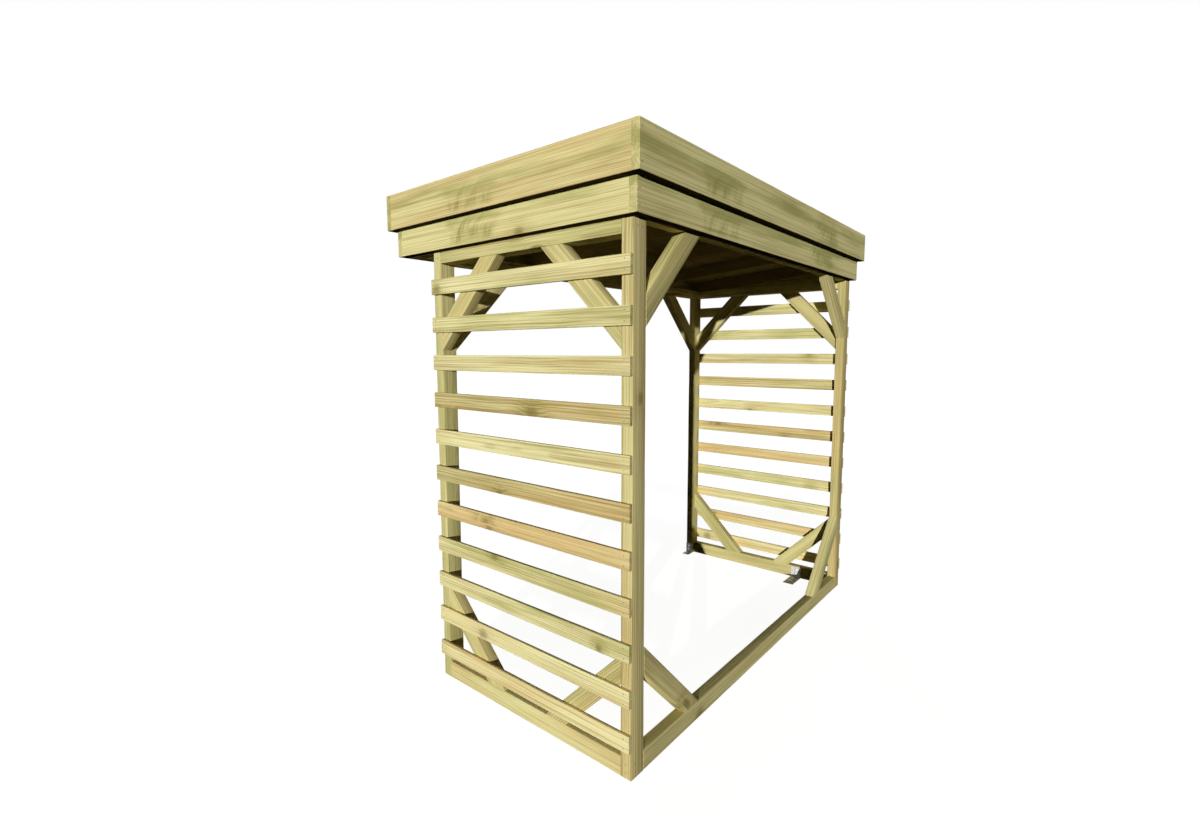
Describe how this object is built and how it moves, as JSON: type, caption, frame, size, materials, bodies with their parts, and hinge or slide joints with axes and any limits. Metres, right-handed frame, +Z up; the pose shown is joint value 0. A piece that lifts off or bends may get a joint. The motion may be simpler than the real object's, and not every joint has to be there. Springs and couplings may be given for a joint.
{
  "type": "log store",
  "caption": "Open timber log store with slatted ends, corner-braced posts, an open back and front, and a flat-topped roof box with stepped fascia boards.",
  "frame": {"origin": "middle of the store's outline, on the ground", "axes": "+X along the long sides, +Y towards the loading front with the deep eaves, +Z up"},
  "size_m": [2.191, 1.323, 2.057],
  "materials": {
    "post_timber": "sawn pressure-treated softwood, pale green to tan",
    "rail_timber": "sawn pressure-treated softwood, pale green to tan",
    "brace_timber": "sawn pressure-treated softwood, pale green to tan",
    "slat_timber": "sawn pressure-treated softwood, pale green to tan",
    "fascia_timber": "sawn pressure-treated softwood, pale green to tan",
    "roof_timber": "sawn pressure-treated softwood, pale green to tan",
    "roof_sheet": "matt black roofing sheet",
    "anchor_steel": "galvanised steel plate"
  },
  "bodies": {
    "root": {"back_left_post": "post_timber", "back_right_post": "post_timber", "front_left_post": "post_timber", "front_right_post": "post_timber", "left_bottom_rail": "rail_timber", "right_bottom_rail": "rail_timber", "back_bottom_rail": "rail_timber", "left_top_rail": "rail_timber", "right_top_rail": "rail_timber", "front_top_rail": "rail_timber", "back_top_beam": "rail_timber", "left_back_top_brace": "brace_timber", "left_front_top_brace": "brace_timber", "left_back_foot_brace": "brace_timber", "left_front_foot_brace": "brace_timber", "right_back_top_brace": "brace_timber", "right_front_top_brace": "brace_timber", "right_back_foot_brace": "brace_timber", "right_front_foot_brace": "brace_timber", "back_left_top_brace": "brace_timber", "back_right_top_brace": "brace_timber", "back_left_foot_brace": "brace_timber", "back_right_foot_brace": "brace_timber", "front_left_top_brace": "brace_timber", "front_right_top_brace": "brace_timber", "left_slats": "slat_timber", "right_slats": "slat_timber", "roof_joists": "roof_timber", "roof_deck": "roof_timber", "roof_covering": "roof_sheet", "left_lower_fascia": "fascia_timber", "right_lower_fascia": "fascia_timber", "back_lower_fascia": "fascia_timber", "front_lower_fascia": "fascia_timber", "left_upper_fascia": "fascia_timber", "right_upper_fascia": "fascia_timber", "back_upper_fascia": "fascia_timber", "front_upper_fascia": "fascia_timber", "back_left_anchor": "anchor_steel", "back_right_anchor": "anchor_steel", "front_left_anchor": "anchor_steel", "front_right_anchor": "anchor_steel"}
  },
  "joints": []
}
